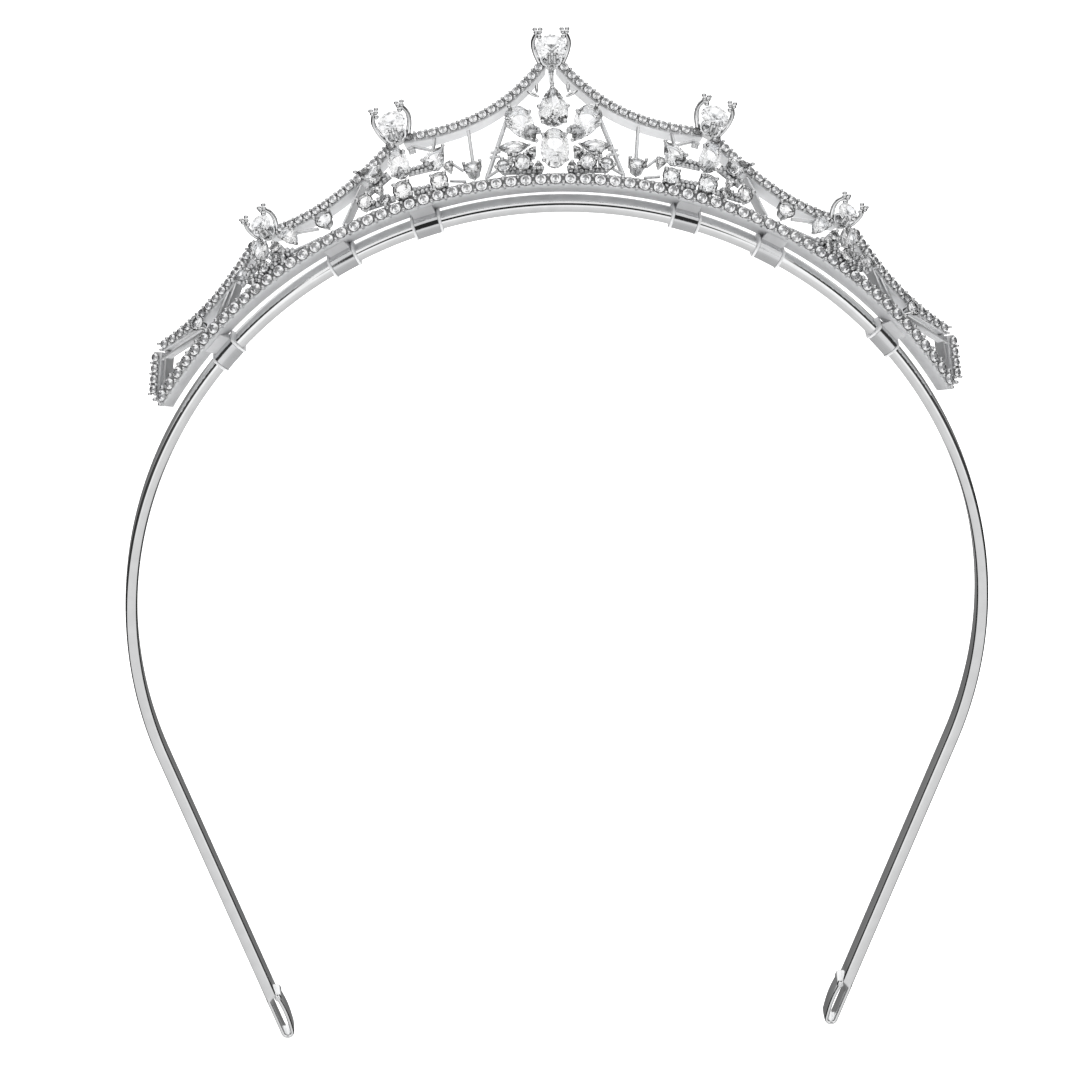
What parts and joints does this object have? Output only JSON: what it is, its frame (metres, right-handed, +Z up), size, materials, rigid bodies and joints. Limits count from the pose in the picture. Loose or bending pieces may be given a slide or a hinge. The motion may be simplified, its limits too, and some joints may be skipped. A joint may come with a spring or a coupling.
{
  "type": "bridal tiara",
  "caption": "Sprung horseshoe headband carrying an openwork crown of stone-set scalloped rails, round solitaires on the peaks and pear, oval and marquise motifs.",
  "frame": {"origin": "inner face of the headband at its top centre, where it meets the top of the head", "axes": "+X to the right as seen from the front (the wearer's left), +Y to the back of the head, +Z up the headband; names with left and right are as seen from the front"},
  "size_m": [0.1404, 0.019, 0.17],
  "materials": {
    "plated_metal": "mirror-bright rhodium-type plating",
    "clip_metal": "bright plating, slightly softer where it was crimped and soldered",
    "clear_stone": "colourless faceted crystal, polished"
  },
  "bodies": {
    "root": {"headband": "plated_metal", "clip_left_inner": "clip_metal", "clip_left_middle": "clip_metal", "clip_left_outer": "clip_metal", "clip_right_inner": "clip_metal", "clip_right_middle": "clip_metal", "clip_right_outer": "clip_metal", "base_rail": "plated_metal", "base_row_prongs": "plated_metal", "base_row_stones": "clear_stone", "top_rail_left_inner": "plated_metal", "top_rail_left_middle": "plated_metal", "top_rail_left_outer": "plated_metal", "top_rail_right_inner": "plated_metal", "top_rail_right_middle": "plated_metal", "top_rail_right_outer": "plated_metal", "end_bar_left": "plated_metal", "end_bar_right": "plated_metal", "top_row_prongs": "plated_metal", "top_row_stones": "clear_stone", "peak_setting_centre": "plated_metal", "peak_setting_left": "plated_metal", "peak_setting_right": "plated_metal", "peak_setting_outer_left": "plated_metal", "peak_setting_outer_right": "plated_metal", "peak_stone_centre": "clear_stone", "peak_stone_left": "clear_stone", "peak_stone_right": "clear_stone", "peak_stone_outer_left": "clear_stone", "peak_stone_outer_right": "clear_stone", "apex_bar": "plated_metal", "centre_pear_setting": "plated_metal", "centre_pear_stone": "clear_stone", "centre_oval_setting": "plated_metal", "centre_oval_stone": "clear_stone", "side_pear_setting_left": "plated_metal", "side_pear_setting_right": "plated_metal", "side_pear_stone_left": "clear_stone", "side_pear_stone_right": "clear_stone", "marquise_setting_left": "plated_metal", "marquise_setting_right": "plated_metal", "marquise_stone_left": "clear_stone", "marquise_stone_right": "clear_stone", "centre_round_collets_left": "plated_metal", "centre_round_collets_right": "plated_metal", "centre_round_stones_left": "clear_stone", "centre_round_stones_right": "clear_stone", "middle_motif_settings_left": "plated_metal", "middle_motif_settings_right": "plated_metal", "middle_motif_stones_left": "clear_stone", "middle_motif_stones_right": "clear_stone", "outer_motif_settings_left": "plated_metal", "outer_motif_settings_right": "plated_metal", "outer_motif_stones_left": "clear_stone", "outer_motif_stones_right": "clear_stone", "accent_settings": "plated_metal", "accent_stones": "clear_stone", "struts_left": "plated_metal", "struts_right": "plated_metal"}
  },
  "joints": []
}
